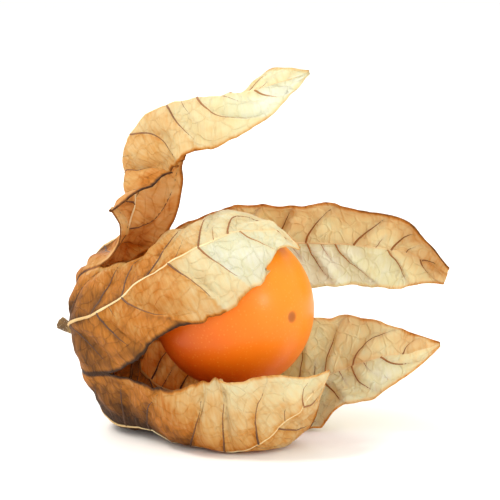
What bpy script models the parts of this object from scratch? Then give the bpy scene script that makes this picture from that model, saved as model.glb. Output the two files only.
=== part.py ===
"""A ripe physalis (cape gooseberry) lying in its opened papery husk, as picked, on a short stalk.

Three pieces make the fruit: the berry, the husk that grew round it, and the stalk, whose end inside
the husk carries the berry. The husk is one thin shell: a cup round the stalk that splits into five
lobes, each torn free along its seams and curled in its own way. Run it in Blender: metres, +Z up.
"""

import math
from collections import namedtuple

import bmesh
import bpy
import numpy as np
from mathutils import Vector

MM = 0.001
PART = "physalis_berry"

# Driving dimensions. Places are in millimetres, in a frame whose floor is z = 0.
BERRY_RADIUS = 9.25
BERRY_CENTRE = np.array([-3.2, 0.0, 14.7])
AXIS_TURN = math.radians(30)  # how far the husk's mouth is turned from +X towards -Y
AXIS_RISE = math.radians(16)  # and lifted from the floor
NECK = 12.0  # from the hole that the husk has for its stalk to the berry's centre
WALL = 0.6  # thickness of the husk's wall

# The husk's cup, from the hole round the stalk out to the rim, where the lobes part:
# (place along the axis, radius).
CUP_PROFILE = [
    (0.0, 1.7),
    (-2.0, 2.4),
    (-4.2, 3.9),
    (-5.6, 6.0),
    (-5.0, 8.5),
    (-2.6, 10.3),
    (-0.2, 10.9),
]
CUP_ROWS = 7
LOBES = 5
LOBE_ANGLE = 2 * math.pi / LOBES
FIRST_LOBE = math.radians(2)  # the upper lobe's midrib, turned from straight up towards the front
KEELS = 0.03  # how far the five midribs stand out of the round, as a share of the radius
SEAM_RIBS = 0.012  # and the ten ribs, with the five along the lobes' seams
BELLY = 1.9  # how far the underside sags
BELLY_SIDE = math.radians(180)
FEET = [(-3.4, -8.1), (-12.4, 5.7), (4.2, 4.2)]  # three low places that the husk stands on
FOOT_RADIUS = 2.2
FOOT_LIFT = 0.45  # how far the feet hold the rest of the underside off the floor
FLAT_EDGE = 0.15  # height over which the sides bend into the flat underside

# A lobe's stations run from its root to its tip: the place of the midrib, which way the outer face
# looks there, half the lobe's width, how fast it curls across (degrees a millimetre) and how far
# each side is folded in along the midrib (degrees).
Station = namedtuple("Station", "place facing half curl fold")
Lobe = namedtuple("Lobe", "name stations")
FOLD_LENGTH = 1.6  # the width over which the midrib's fold turns
ROOT_BLEND = 0.45  # the share of a lobe that bends from the cup's rim into its own section
LOBE_ROWS = 24
LOBE_COLUMNS = 12
RIB_HEIGHT = 0.3
PUCKER = 0.25  # height of the puckers between a lobe's side veins
VEIN_SPACING = 5.0
VEIN_LEAN = 5.0  # how much further along the lobe a side vein ends than it starts
RUFFLE = 0.5  # height of the waves in a lobe's edges

# The stalk from its cut end inwards: (place along the husk's axis, bend upwards, radius).
STEM_PROFILE = [
    (-12.5, 2.6, 0.75),
    (-11.6, 1.9, 0.60),
    (-8.5, 0.5, 0.52),
    (-5.0, 0.0, 0.56),
    (-2.0, 0.0, 0.72),
    (0.0, 0.0, 0.95),
    (1.6, 0.0, 1.40),
    (2.9, 0.0, 2.00),
]
STEM_POINTS = 28

BERRY_SEGMENTS = 44
BERRY_RINGS = 22
DIMPLE_DEPTH = 0.7  # the hollow round the stalk
DIMPLE_RADIUS = 2.6
SCAR_DEPTH = 0.18  # the flower's scar, low on the side away from the stalk
SCAR_RADIUS = 0.9
SCAR_DIRECTION = (0.718, -0.695, 0.034)  # from the berry's middle
SEAM_SWELL = 0.008
WELD = 1e-6  # metres; joins the sheets where they share a seam

CURLED_UP = Lobe("curled_up", [
    Station((-15.0, 7.3, 26.4), (-0.68, 0.58, 0.45), 6.9, 2.5, 14),
    Station((-15.7, 7.0, 30.2), (-0.88, 0.24, 0.42), 7.9, 2.0, 42),
    Station((-14.9, 6.2, 34.0), (-0.80, 0.05, 0.60), 8.2, 1.0, 58),
    Station((-12.2, 5.2, 36.7), (-0.45, 0.00, 0.90), 8.0, 0.0, 62),
    Station((-8.0, 4.3, 37.9), (-0.20, 0.00, 0.97), 7.4, 0.0, 60),
    Station((-3.4, 3.5, 38.6), (-0.10, -0.20, 0.97), 5.8, 0.0, 48),
    Station((0.4, 3.0, 39.9), (-0.25, -0.70, 0.70), 3.6, 2.0, 20),
    Station((5.4, 3.0, 41.6), (-0.30, -0.80, 0.50), 0.25, 0.0, 10),
])
OVER_BERRY = Lobe("over_berry", [
    Station((-13.4, -6.1, 18.9), (-0.72, -0.50, 0.48), 7.8, 5.2, 0),
    Station((-8.3, -6.1, 22.0), (-0.38, -0.62, 0.69), 8.3, 5.4, 0),
    Station((-3.8, -5.0, 23.9), (-0.05, -0.53, 0.85), 7.7, 5.6, 0),
    Station((-0.4, -3.6, 24.3), (0.22, -0.40, 0.89), 5.6, 5.6, 0),
    Station((2.2, -3.0, 23.6), (0.46, -0.34, 0.82), 3.1, 5.4, 0),
    Station((4.3, -3.2, 22.2), (0.62, -0.34, 0.71), 0.3, 3.0, 0),
])
CRADLE = Lobe("cradle", [
    Station((-9.0, -6.2, 0.7), (-0.15, -0.57, -0.81), 8.6, 6.4, 0),
    Station((-4.6, -8.9, 0.5), (-0.05, -0.70, -0.71), 9.4, 6.8, 0),
    Station((-0.6, -10.2, 1.5), (0.10, -0.76, -0.64), 9.2, 6.8, 0),
    Station((3.4, -9.9, 4.6), (0.35, -0.75, -0.56), 7.0, 5.6, 0),
    Station((7.4, -7.6, 9.2), (0.42, -0.62, -0.62), 0.3, 2.0, 0),
])
REACHING = Lobe("reaching", [
    Station((-2.6, 9.4, -0.2), (0.02, 0.35, -0.93), 7.6, 5.0, 0),
    Station((1.8, 8.6, 0.6), (0.06, 0.46, -0.88), 8.6, 5.4, 0),
    Station((6.0, 7.4, 3.7), (0.16, 0.67, -0.71), 8.6, 5.0, 0),
    Station((9.8, 5.3, 6.5), (0.18, 0.73, -0.65), 6.8, 3.8, 0),
    Station((13.2, 3.4, 7.9), (0.15, 0.75, -0.60), 5.0, 2.8, 0),
    Station((16.8, 1.8, 8.9), (0.15, 0.75, -0.60), 3.2, 2.0, 0),
    Station((20.6, 0.2, 10.4), (0.20, 0.70, -0.65), 0.3, 0.0, 0),
])
BACKDROP = Lobe("backdrop", [
    Station((-4.4, 14.8, 18.8), (0.05, 0.95, 0.30), 7.2, 4.5, 0),
    Station((1.0, 12.8, 20.0), (0.10, 0.95, 0.25), 6.2, 4.5, 0),
    Station((7.0, 10.4, 20.4), (0.15, 0.95, 0.20), 5.5, 3.5, 0),
    Station((12.6, 8.0, 20.5), (0.15, 0.95, 0.20), 5.1, 3.5, 0),
    Station((18.0, 6.0, 19.4), (0.25, 0.90, 0.40), 4.1, 4.0, 0),
    Station((21.6, 4.6, 17.6), (0.50, 0.75, 0.45), 1.5, 2.0, 0),
])
# In order round the husk's axis, each a fifth of a turn from the last.
HUSK_LOBES = [CURLED_UP, OVER_BERRY, CRADLE, REACHING, BACKDROP]


def unit(vectors):
    vectors = np.asarray(vectors, float)
    return vectors / np.linalg.norm(vectors, axis=-1, keepdims=True)


HUSK_AXIS = np.array([
    math.cos(AXIS_RISE) * math.cos(AXIS_TURN),
    -math.cos(AXIS_RISE) * math.sin(AXIS_TURN),
    math.sin(AXIS_RISE),
])
HUSK_UP = unit(np.array([0, 0, 1]) - HUSK_AXIS[2] * HUSK_AXIS)
HUSK_FRONT = np.cross(HUSK_AXIS, HUSK_UP)
HUSK_BASE = BERRY_CENTRE - NECK * HUSK_AXIS


def smooth_through(rows, at, first_slope=None):
    """Values at positions `at`, from 0 to 1, on the smooth curve through rows, spaced by chord."""
    rows = np.asarray(rows, float)
    chords = np.linalg.norm(np.diff(rows[:, :3], axis=0), axis=1)
    knots = np.concatenate([[0], np.cumsum(chords)])
    slopes = np.gradient(rows, knots, axis=0)
    if first_slope is not None:
        slopes[0, : len(first_slope)] = first_slope
    where = np.clip(np.asarray(at, float), 0, 1) * knots[-1]
    left = np.clip(np.searchsorted(knots, where, side="right") - 1, 0, len(knots) - 2)
    span = (knots[left + 1] - knots[left])[:, None]
    t = ((where - knots[left]) / span[:, 0])[:, None]
    start = (1 + 2 * t) * (1 - t) ** 2 * rows[left] + t * (1 - t) ** 2 * span * slopes[left]
    end = t**2 * (3 - 2 * t) * rows[left + 1] + t**2 * (t - 1) * span * slopes[left + 1]
    return start + end


def cup_point(row, angle):
    """The husk's wall at a row of the cup, from 0 at the hole to 1 at the rim, and at some angles."""
    profile = np.pad(np.array(CUP_PROFILE), ((0, 0), (0, 1)))
    along, radius, _ = smooth_through(profile, [row])[0]
    grown = np.clip((radius - CUP_PROFILE[0][1]) / 6, 0, 1)
    turned = angle - FIRST_LOBE
    ribs = KEELS * np.cos(LOBES * turned) + SEAM_RIBS * np.cos(2 * LOBES * turned)
    sag = BELLY * np.maximum(0, np.cos(angle - BELLY_SIDE)) ** 3
    radius = radius * (1 + grown * ribs) + grown * sag
    outwards = np.outer(np.cos(angle), HUSK_UP) + np.outer(np.sin(angle), HUSK_FRONT)
    return HUSK_BASE + along * HUSK_AXIS + radius[:, None] * outwards


def lobe_points(lobe, midrib_angle, across):
    """The lobe's free part: a row of points for each section, from its root to its tip."""
    rim = cup_point(1.0, midrib_angle + across * LOBE_ANGLE / 2)
    before = cup_point(0.97, midrib_angle + across * LOBE_ANGLE / 2)
    middle = len(across) // 2
    root = rim[middle]
    along = unit(root - before[middle])
    normal = unit(np.cross(rim[middle + 1] - rim[middle - 1], along))
    half = np.linalg.norm(np.diff(rim, axis=0), axis=1).sum() / 2
    curl = math.degrees(LOBE_ANGLE / 2) / half
    rows = [[*root, *normal, half, curl, 0.0]]
    rows += [[*s.place, *unit(s.facing), s.half, s.curl, s.fold] for s in lobe.stations]
    at = np.linspace(0, 1, LOBE_ROWS + 1)
    found = smooth_through(rows, at, first_slope=along)
    heading = np.gradient(found[:, :3], axis=0)
    heading[0] = along
    sections = np.array([
        section(row[:3], unit(ahead), row[3:6], *row[6:], across) for row, ahead in zip(found, heading)
    ])
    left = 1 - np.clip(at / ROOT_BLEND, 0, 1)
    fade = left**2 * (3 - 2 * left)
    return (sections + fade[:, None, None] * (rim - sections[0]))[1:]


def section(place, along, facing, half, curl, fold, across):
    """Points across the lobe at one place: it curls evenly and folds along its midrib."""
    normal = unit(facing - np.dot(facing, along) * along)
    sideways = np.cross(along, normal)
    s = np.linspace(0, half, 41)
    turn = np.radians(curl) * s + np.radians(fold) * np.tanh(s / FOLD_LENGTH)
    step = s[1]
    out = np.concatenate([[0], np.cumsum((np.cos(turn[1:]) + np.cos(turn[:-1])) / 2 * step)])
    inwards = np.concatenate([[0], np.cumsum((np.sin(turn[1:]) + np.sin(turn[:-1])) / 2 * step)])
    x = np.interp(np.abs(across) * half, s, out) * np.sign(across)
    y = np.interp(np.abs(across) * half, s, inwards)
    return place + np.outer(x, sideways) - np.outer(y, normal)


def relief(grid, across, seed):
    """The sector with its raised midrib, the puckers between its side veins and its waved edges."""
    down = np.gradient(grid, axis=0)
    over = np.gradient(grid, axis=1)
    normals = unit(np.cross(over, down))
    middle = grid.shape[1] // 2
    length = np.concatenate([[0], np.cumsum(np.linalg.norm(np.diff(grid[:, middle], axis=0), axis=1))])
    width = np.linalg.norm(grid[:, 0] - grid[:, -1], axis=1)
    free = np.clip((length - length[CUP_ROWS - 1]) / 8, 0, 1)[:, None]
    small = np.clip(width / 8, 0, 1)[:, None]
    started = np.clip(length / 6, 0, 1)[:, None]
    side = np.abs(across)[None, :]
    ripple = 2 * np.pi * (length[:, None] - VEIN_LEAN * side) / VEIN_SPACING
    height = RIB_HEIGHT * started * small * np.exp(-((side / 0.12) ** 2))
    height = height + PUCKER * started * small * np.sin(ripple + seed) * np.sin(np.pi * side) * (side < 1)
    wave = np.sin(2 * np.pi * length[:, None] / 9 + seed + 1.3 * np.sign(across)[None, :])
    height = height + RUFFLE * free * small * side**3 * wave
    return grid + height[..., None] * normals


def onto_floor(points):
    """The points, with the low ones laid flat just over the floor and bent down to it at the feet."""
    level = WALL / 2 + FOOT_LIFT
    for x, y in FEET:
        apart = np.hypot(points[..., 0] - x, points[..., 1] - y) / FOOT_RADIUS
        level = level - FOOT_LIFT * np.clip(1 - apart**2, 0, 1) ** 2
    t = np.clip((points[..., 2] - level) / FLAT_EDGE, -1, 1)
    laid = level + FLAT_EDGE * (t + 1) ** 2 / 4
    points = points.copy()
    points[..., 2] = np.where(t < 1, laid, points[..., 2])
    return points


def stem_line():
    """Points down the middle of the stalk, from its cut end to the berry, and the radius at each."""
    rows = [
        [*(HUSK_BASE + along * HUSK_AXIS + bend * HUSK_UP), radius]
        for along, bend, radius in STEM_PROFILE
    ]
    found = smooth_through(rows, np.linspace(0, 1, STEM_POINTS))
    return found[:, :3], found[:, 3]


def husk_sector(lobe, number):
    """A fifth of the husk, from the hole to the lobe's tip, as rows of points in millimetres."""
    across = np.linspace(-1, 1, LOBE_COLUMNS + 1)
    midrib_angle = FIRST_LOBE + number * LOBE_ANGLE
    cup = [cup_point(row, midrib_angle + across * LOBE_ANGLE / 2) for row in np.linspace(0, 1, CUP_ROWS)]
    grid = np.concatenate([cup, lobe_points(lobe, midrib_angle, across)])
    return onto_floor(relief(grid, across, seed=1.7 * number))


# ---- Blender ----
def clear_scene():
    for existing in list(bpy.data.objects):
        bpy.data.objects.remove(existing, do_unlink=True)


def material(name, colour, roughness):
    made = bpy.data.materials.new(name)
    made.use_nodes = True
    shader = made.node_tree.nodes["Principled BSDF"]
    shader.inputs["Base Color"].default_value = (*colour, 1)
    shader.inputs["Roughness"].default_value = roughness
    made.diffuse_color = (*colour, 1)
    return made


def add_object(name, data, finish, collection):
    made = bpy.data.objects.new(name, data)
    data.materials.append(finish)
    collection.objects.link(made)
    return made


def add_husk(collection):
    """The husk: five bent sheets that share the cup's seams, given the wall's thickness."""
    mesh = bmesh.new()
    for number, lobe in enumerate(HUSK_LOBES):
        points = husk_sector(lobe, number) * MM
        rows, columns = points.shape[:2]
        sheet = bmesh.ops.create_grid(
            mesh, x_segments=columns - 1, y_segments=rows - 1, size=1.0
        )
        ordered = sorted(sheet["verts"], key=lambda vert: (round(vert.co.y, 6), round(vert.co.x, 6)))
        for vert, place in zip(ordered, points.reshape(-1, 3)):
            vert.co = Vector(place)
    bmesh.ops.remove_doubles(mesh, verts=mesh.verts, dist=WELD)
    bmesh.ops.recalc_face_normals(mesh, faces=mesh.faces)
    data = bpy.data.meshes.new("husk")
    mesh.to_mesh(data)
    mesh.free()
    husk = add_object("husk", data, material("dry husk", (0.72, 0.47, 0.22), 0.7), collection)
    solid = husk.modifiers.new("wall", "SOLIDIFY")
    solid.thickness = WALL * MM
    solid.offset = 0
    return husk


def add_berry(collection):
    """The berry: a sphere with a dimple at its stalk, a shallow seam round it and a small scar."""
    mesh = bmesh.new()
    bmesh.ops.create_uvsphere(mesh, u_segments=BERRY_SEGMENTS, v_segments=BERRY_RINGS, radius=1)
    side = unit(np.cross(HUSK_UP, HUSK_AXIS))
    for vert in mesh.verts:
        x, y, z = vert.co
        direction = x * HUSK_UP + y * side + z * HUSK_AXIS
        from_stalk = math.acos(max(-1.0, min(1.0, -z)))
        radius = BERRY_RADIUS * (1 + SEAM_SWELL * math.cos(2 * math.atan2(y, x)) * (1 - z * z))
        radius -= DIMPLE_DEPTH * math.exp(-((from_stalk * BERRY_RADIUS / DIMPLE_RADIUS) ** 2))
        from_scar = math.acos(max(-1.0, min(1.0, direction @ SCAR_DIRECTION)))
        radius -= SCAR_DEPTH * math.exp(-((from_scar * BERRY_RADIUS / SCAR_RADIUS) ** 2))
        vert.co = Vector((BERRY_CENTRE + radius * direction) * MM)
    bmesh.ops.recalc_face_normals(mesh, faces=mesh.faces)
    data = bpy.data.meshes.new("berry")
    mesh.to_mesh(data)
    mesh.free()
    return add_object("berry", data, material("berry skin", (0.90, 0.27, 0.03), 0.25), collection)


def add_stem(collection):
    """The stalk: from its cut end, through the husk's hole, to the cone that carries the berry."""
    curve = bpy.data.curves.new("stem", "CURVE")
    curve.dimensions = "3D"
    curve.bevel_depth = MM
    curve.bevel_resolution = 2
    curve.use_fill_caps = True
    places, radii = stem_line()
    line = curve.splines.new("POLY")
    line.points.add(len(places) - 1)
    for point, place, radius in zip(line.points, places, radii):
        point.co = (*(place * MM), 1)
        point.radius = radius
    return add_object("stem", curve, material("stalk", (0.33, 0.22, 0.08), 0.8), collection)


def stand_on_origin(nodes):
    """Moves all the pieces together, so that the middle of the box round them is over the origin."""
    bpy.context.view_layer.update()
    graph = bpy.context.evaluated_depsgraph_get()
    corners = []
    for node in nodes:
        evaluated = node.evaluated_get(graph)
        mesh = evaluated.to_mesh()
        corners += [vert.co.copy() for vert in mesh.vertices]
        evaluated.to_mesh_clear()
    low = Vector(map(min, zip(*corners)))
    high = Vector(map(max, zip(*corners)))
    for node in nodes:
        node.location = (-(low.x + high.x) / 2, -(low.y + high.y) / 2, -low.z)


def main():
    clear_scene()
    collection = bpy.data.collections.new(PART)
    bpy.context.scene.collection.children.link(collection)
    nodes = [add_husk(collection), add_berry(collection), add_stem(collection)]
    stand_on_origin(nodes)


main()
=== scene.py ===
"""A ripe physalis, or cape gooseberry, lying in its torn-open papery husk on a white table.

The script follows the fruit from the outside in: the husk's dry sheet, the ribs and side veins that
stiffen it, the berry, the stalk that carries the berry, and then the table, the light and the camera.
"""

import math
from collections import namedtuple

import bpy
import numpy as np
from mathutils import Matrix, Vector, noise


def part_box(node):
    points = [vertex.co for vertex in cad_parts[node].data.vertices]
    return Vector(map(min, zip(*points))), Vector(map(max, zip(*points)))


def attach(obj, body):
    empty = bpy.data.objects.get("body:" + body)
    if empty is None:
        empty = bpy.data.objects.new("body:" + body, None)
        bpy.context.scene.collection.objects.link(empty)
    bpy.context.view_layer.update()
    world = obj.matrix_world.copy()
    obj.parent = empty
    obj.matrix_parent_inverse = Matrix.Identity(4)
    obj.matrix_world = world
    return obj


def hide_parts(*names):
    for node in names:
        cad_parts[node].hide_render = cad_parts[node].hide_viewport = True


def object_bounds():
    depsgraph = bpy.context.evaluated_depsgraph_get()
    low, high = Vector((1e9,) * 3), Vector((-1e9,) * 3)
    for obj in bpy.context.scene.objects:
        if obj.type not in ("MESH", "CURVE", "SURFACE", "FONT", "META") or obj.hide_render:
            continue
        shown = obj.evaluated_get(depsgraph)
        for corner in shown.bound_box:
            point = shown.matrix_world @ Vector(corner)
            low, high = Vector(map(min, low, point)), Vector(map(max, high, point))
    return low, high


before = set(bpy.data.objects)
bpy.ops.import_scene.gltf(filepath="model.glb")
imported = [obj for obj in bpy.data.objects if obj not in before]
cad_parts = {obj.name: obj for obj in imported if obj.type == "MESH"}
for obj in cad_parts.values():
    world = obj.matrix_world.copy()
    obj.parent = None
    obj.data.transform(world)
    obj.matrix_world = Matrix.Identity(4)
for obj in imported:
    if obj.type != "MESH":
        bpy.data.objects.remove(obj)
cad_box = [list(corner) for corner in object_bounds()]

# ---------------------------------------------------------------------------------------------------
# The husk: the flower's five sepals, grown together into a lantern round the berry and dried to a
# sheet as thin as paper. It has torn along its seams, so a cup is left round the stalk, and five
# lobes curl away from it: one straight up, one over the berry, one under it, and two behind.

MM = 0.001  # lengths below are millimetres
BERRY_RADIUS = 9.25
BERRY_CENTRE = np.array([-3.2, 0.0, 14.7])
AXIS_TURN = math.radians(30)  # the husk's axis points this far towards the front,
AXIS_RISE = math.radians(16)  # and this far up
NECK = 12.0  # from the berry's middle back to the husk's hole
PAPER = 0.16  # thickness of the dry sheet
CUP_PROFILE = [  # (place along the axis, radius), from the hole, where the sheet meets the stalk
    (0.0, 1.12),
    (-2.0, 2.4),
    (-4.2, 3.9),
    (-5.6, 6.0),
    (-5.0, 8.5),
    (-2.6, 10.3),
    (-0.2, 10.9),
]
CUP_ROWS = 26
SMOOTH_NECK = 1.7  # the cup is round where its radius is less than this,
NECK_SPREAD = 6  # and has its full ribs and belly where it is this much wider
LOBES = 5
LOBE_ANGLE = 2 * math.pi / LOBES
FIRST_LOBE = math.radians(2)
KEELS = 0.03  # how far the cup stands out at each lobe's midrib, as a share of its radius
SEAM_RIBS = 0.012  # and at its seams
BELLY = 1.9  # how far the cup sags under its own weight
BELLY_SIDE = math.radians(180)
FEET = [(-3.4, -8.1), (-12.4, 5.7), (4.2, 4.2)]  # three low places that the husk stands on
FOOT_RADIUS = 2.2
FOOT_LIFT = 0.45  # how far the feet hold the rest of the underside off the floor
FLAT_EDGE = 0.15  # height over which the sides bend into the flat underside
LOBE_ROWS = 104
LOBE_COLUMNS = 60
FOLD_LENGTH = 1.6  # the fold along a midrib is this far across
ROOT_BLEND = 0.45  # the share of a lobe over which it leaves the cup's round form
RIB_HEIGHT = 0.3
RIB_SHARE = 0.12  # the midrib's swelling, as a share of the half width
PUCKER = 0.38  # how far the sheet puffs out between its side veins
CREASING = 2.2  # how sharply it creases at a side vein
VEIN_SPACING = 5.0
VEIN_LEAN = 5.0  # how much nearer the tip a side vein is at the margin than at the midrib
VEIN_DRIFT = 0.9  # how far a side vein may leave its even place
VEIN_STAGGER = 0.11  # how much later one side's veins leave the midrib, in spacings
RUFFLE = 0.5  # height of the waves along a lobe's margins
RUFFLE_LENGTH = 9
TORN = 0.07  # the most of a margin that is torn away, as a share of the half width
HOLE_AGE = 0.85  # how brown the sheet is at its hole
PANEL_STEP = 0.75  # how evenly each panel between two side veins is browned
PANEL_TONE = 0.07  # how far a panel may be browner or paler than its neighbours

# A station is a place on a lobe's midrib, which way its outer face looks there, half its width, how
# fast it curls across (degrees a millimetre) and how far each side is folded in (degrees).
# A lobe's ages are its browning along one margin, its midrib and its other margin, each at its root,
# a third and two thirds of the way, and its tip: 0 is pale and greenish, 1 is dark brown.
Station = namedtuple("Station", "place facing half curl fold")
Lobe = namedtuple("Lobe", "ages stations")

CURLED_UP = Lobe(
    [(0.66, 0.62, 0.38, 0.02), (0.66, 0.50, 0.28, 0.00), (0.52, 0.66, 0.32, 0.00)],
    [
        Station((-15.0, 7.3, 26.4), (-0.68, 0.58, 0.45), 6.9, 2.5, 14),
        Station((-15.7, 7.0, 30.2), (-0.88, 0.24, 0.42), 7.9, 2.0, 42),
        Station((-14.9, 6.2, 34.0), (-0.80, 0.05, 0.60), 8.2, 1.0, 58),
        Station((-12.2, 5.2, 36.7), (-0.45, 0.00, 0.90), 8.0, 0.0, 62),
        Station((-8.0, 4.3, 37.9), (-0.20, 0.00, 0.97), 7.4, 0.0, 60),
        Station((-3.4, 3.5, 38.6), (-0.10, -0.20, 0.97), 5.8, 0.0, 48),
        Station((0.4, 3.0, 39.9), (-0.25, -0.70, 0.70), 3.6, 2.0, 20),
        Station((5.4, 3.0, 41.6), (-0.30, -0.80, 0.50), 0.25, 0.0, 10),
    ],
)
OVER_BERRY = Lobe(
    [(0.60, 0.44, 0.14, 0.22), (0.78, 0.66, 0.14, 0.24), (0.88, 0.76, 0.18, 0.20)],
    [
        Station((-13.4, -6.1, 18.9), (-0.72, -0.50, 0.48), 7.8, 5.2, 0),
        Station((-8.3, -6.1, 22.0), (-0.38, -0.62, 0.69), 8.3, 5.4, 0),
        Station((-3.8, -5.0, 23.9), (-0.05, -0.53, 0.85), 7.7, 5.6, 0),
        Station((-0.4, -3.6, 24.3), (0.22, -0.40, 0.89), 5.6, 5.6, 0),
        Station((2.2, -3.0, 23.6), (0.46, -0.34, 0.82), 3.1, 5.4, 0),
        Station((4.3, -3.2, 22.2), (0.62, -0.34, 0.71), 0.3, 3.0, 0),
    ],
)
CRADLE = Lobe(
    [(0.60, 0.36, 0.20, 0.25), (0.94, 0.76, 0.50, 0.24), (0.98, 0.90, 0.72, 0.36)],
    [
        Station((-9.0, -6.2, 0.7), (-0.15, -0.57, -0.81), 8.6, 6.4, 0),
        Station((-4.6, -8.9, 0.5), (-0.05, -0.70, -0.71), 9.4, 6.8, 0),
        Station((-0.6, -10.2, 1.5), (0.10, -0.76, -0.64), 9.2, 6.8, 0),
        Station((3.4, -9.9, 4.6), (0.35, -0.75, -0.56), 7.0, 5.6, 0),
        Station((7.4, -7.6, 9.2), (0.42, -0.62, -0.62), 0.3, 2.0, 0),
    ],
)
REACHING = Lobe(
    [(0.60, 0.30, 0.30, 0.36), (0.60, 0.22, 0.26, 0.36), (0.60, 0.28, 0.32, 0.42)],
    [
        Station((-2.6, 9.4, -0.2), (0.02, 0.35, -0.93), 7.6, 5.0, 0),
        Station((1.8, 8.6, 0.6), (0.06, 0.46, -0.88), 8.6, 5.4, 0),
        Station((6.0, 7.4, 3.7), (0.16, 0.67, -0.71), 8.6, 5.0, 0),
        Station((9.8, 5.3, 6.5), (0.18, 0.73, -0.65), 6.8, 3.8, 0),
        Station((13.2, 3.4, 7.9), (0.15, 0.75, -0.60), 5.0, 2.8, 0),
        Station((16.8, 1.8, 8.9), (0.15, 0.75, -0.60), 3.2, 2.0, 0),
        Station((20.6, 0.2, 10.4), (0.20, 0.70, -0.65), 0.3, 0.0, 0),
    ],
)
BACKDROP = Lobe(
    [(0.40, 0.20, 0.15, 0.40), (0.40, 0.22, 0.16, 0.50), (0.40, 0.30, 0.50, 0.50)],
    [
        Station((-4.4, 14.8, 18.8), (0.05, 0.95, 0.30), 7.2, 4.5, 0),
        Station((1.0, 12.8, 20.0), (0.10, 0.95, 0.25), 6.2, 4.5, 0),
        Station((7.0, 10.4, 20.4), (0.15, 0.95, 0.20), 5.5, 3.5, 0),
        Station((12.6, 8.0, 20.5), (0.15, 0.95, 0.20), 5.1, 3.5, 0),
        Station((18.0, 6.0, 19.4), (0.25, 0.90, 0.40), 4.1, 4.0, 0),
        Station((21.6, 4.6, 17.6), (0.50, 0.75, 0.45), 1.5, 2.0, 0),
    ],
)
# In order round the husk's axis, each a fifth of a turn from the last.
HUSK_LOBES = [CURLED_UP, OVER_BERRY, CRADLE, REACHING, BACKDROP]


def unit(vectors):
    """The vectors at length 1."""
    vectors = np.asarray(vectors, float)
    return vectors / np.linalg.norm(vectors, axis=-1, keepdims=True)


HUSK_AXIS = np.array([
    math.cos(AXIS_RISE) * math.cos(AXIS_TURN),
    -math.cos(AXIS_RISE) * math.sin(AXIS_TURN),
    math.sin(AXIS_RISE),
])
HUSK_UP = unit(np.array([0, 0, 1]) - HUSK_AXIS[2] * HUSK_AXIS)
HUSK_FRONT = np.cross(HUSK_AXIS, HUSK_UP)
HUSK_BASE = BERRY_CENTRE - NECK * HUSK_AXIS
# The lists above are in the husk's own frame, which the CAD berry's box ties to the part's frame.
berry_low, berry_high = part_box("berry")
SHIFT = (np.array(berry_low + berry_high) / (2 * MM) - BERRY_CENTRE) * (1, 1, 0)


def smooth_through(rows, at, first_slope=None):
    """Values at positions `at`, from 0 to 1, on the smooth curve through rows, spaced by chord."""
    rows = np.asarray(rows, float)
    chords = np.linalg.norm(np.diff(rows[:, :3], axis=0), axis=1)
    knots = np.concatenate([[0], np.cumsum(chords)])
    slopes = np.gradient(rows, knots, axis=0)
    if first_slope is not None:
        slopes[0, : len(first_slope)] = first_slope
    where = np.clip(np.asarray(at, float), 0, 1) * knots[-1]
    left = np.clip(np.searchsorted(knots, where, side="right") - 1, 0, len(knots) - 2)
    span = (knots[left + 1] - knots[left])[:, None]
    t = ((where - knots[left]) / span[:, 0])[:, None]
    start = (1 + 2 * t) * (1 - t) ** 2 * rows[left] + t * (1 - t) ** 2 * span * slopes[left]
    end = t**2 * (3 - 2 * t) * rows[left + 1] + t**2 * (t - 1) * span * slopes[left + 1]
    return start + end


def cup_point(row, angle):
    """The husk's sheet at a row of the cup, from 0 at the hole to 1 at the rim, and at some angles."""
    profile = np.pad(np.array(CUP_PROFILE), ((0, 0), (0, 1)))
    along, radius, _ = smooth_through(profile, [row])[0]
    full = np.clip((radius - SMOOTH_NECK) / NECK_SPREAD, 0, 1)
    turned = angle - FIRST_LOBE
    ribs = KEELS * np.cos(LOBES * turned) + SEAM_RIBS * np.cos(2 * LOBES * turned)
    sag = BELLY * np.maximum(0, np.cos(angle - BELLY_SIDE)) ** 3
    radius = radius * (1 + full * ribs) + full * sag
    outwards = np.outer(np.cos(angle), HUSK_UP) + np.outer(np.sin(angle), HUSK_FRONT)
    return HUSK_BASE + along * HUSK_AXIS + radius[:, None] * outwards


def lobe_points(lobe, midrib_angle, across, ragged):
    """The lobe's free part, from its root to its tip: a row of points for each row of `ragged`."""
    rim = cup_point(1.0, midrib_angle + across * LOBE_ANGLE / 2)
    before = cup_point(0.97, midrib_angle + across * LOBE_ANGLE / 2)
    middle = len(across) // 2
    root = rim[middle]
    along = unit(root - before[middle])
    normal = unit(np.cross(rim[middle + 1] - rim[middle - 1], along))
    half = np.linalg.norm(np.diff(rim, axis=0), axis=1).sum() / 2
    curl = math.degrees(LOBE_ANGLE / 2) / half
    rows = [[*root, *normal, half, curl, 0.0]]
    rows += [[*s.place, *unit(s.facing), s.half, s.curl, s.fold] for s in lobe.stations]
    at = np.linspace(0, 1, LOBE_ROWS + 1)
    found = smooth_through(rows, at, first_slope=along)
    heading = np.gradient(found[:, :3], axis=0)
    heading[0] = along
    sections = np.array([
        section(row[:3], unit(ahead), row[3:6], *row[6:], reach)
        for row, ahead, reach in zip(found, heading, ragged)
    ])
    left = 1 - np.clip(at / ROOT_BLEND, 0, 1)
    fade = left**2 * (3 - 2 * left)
    return (sections + fade[:, None, None] * (rim - sections[0]))[1:]


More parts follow.
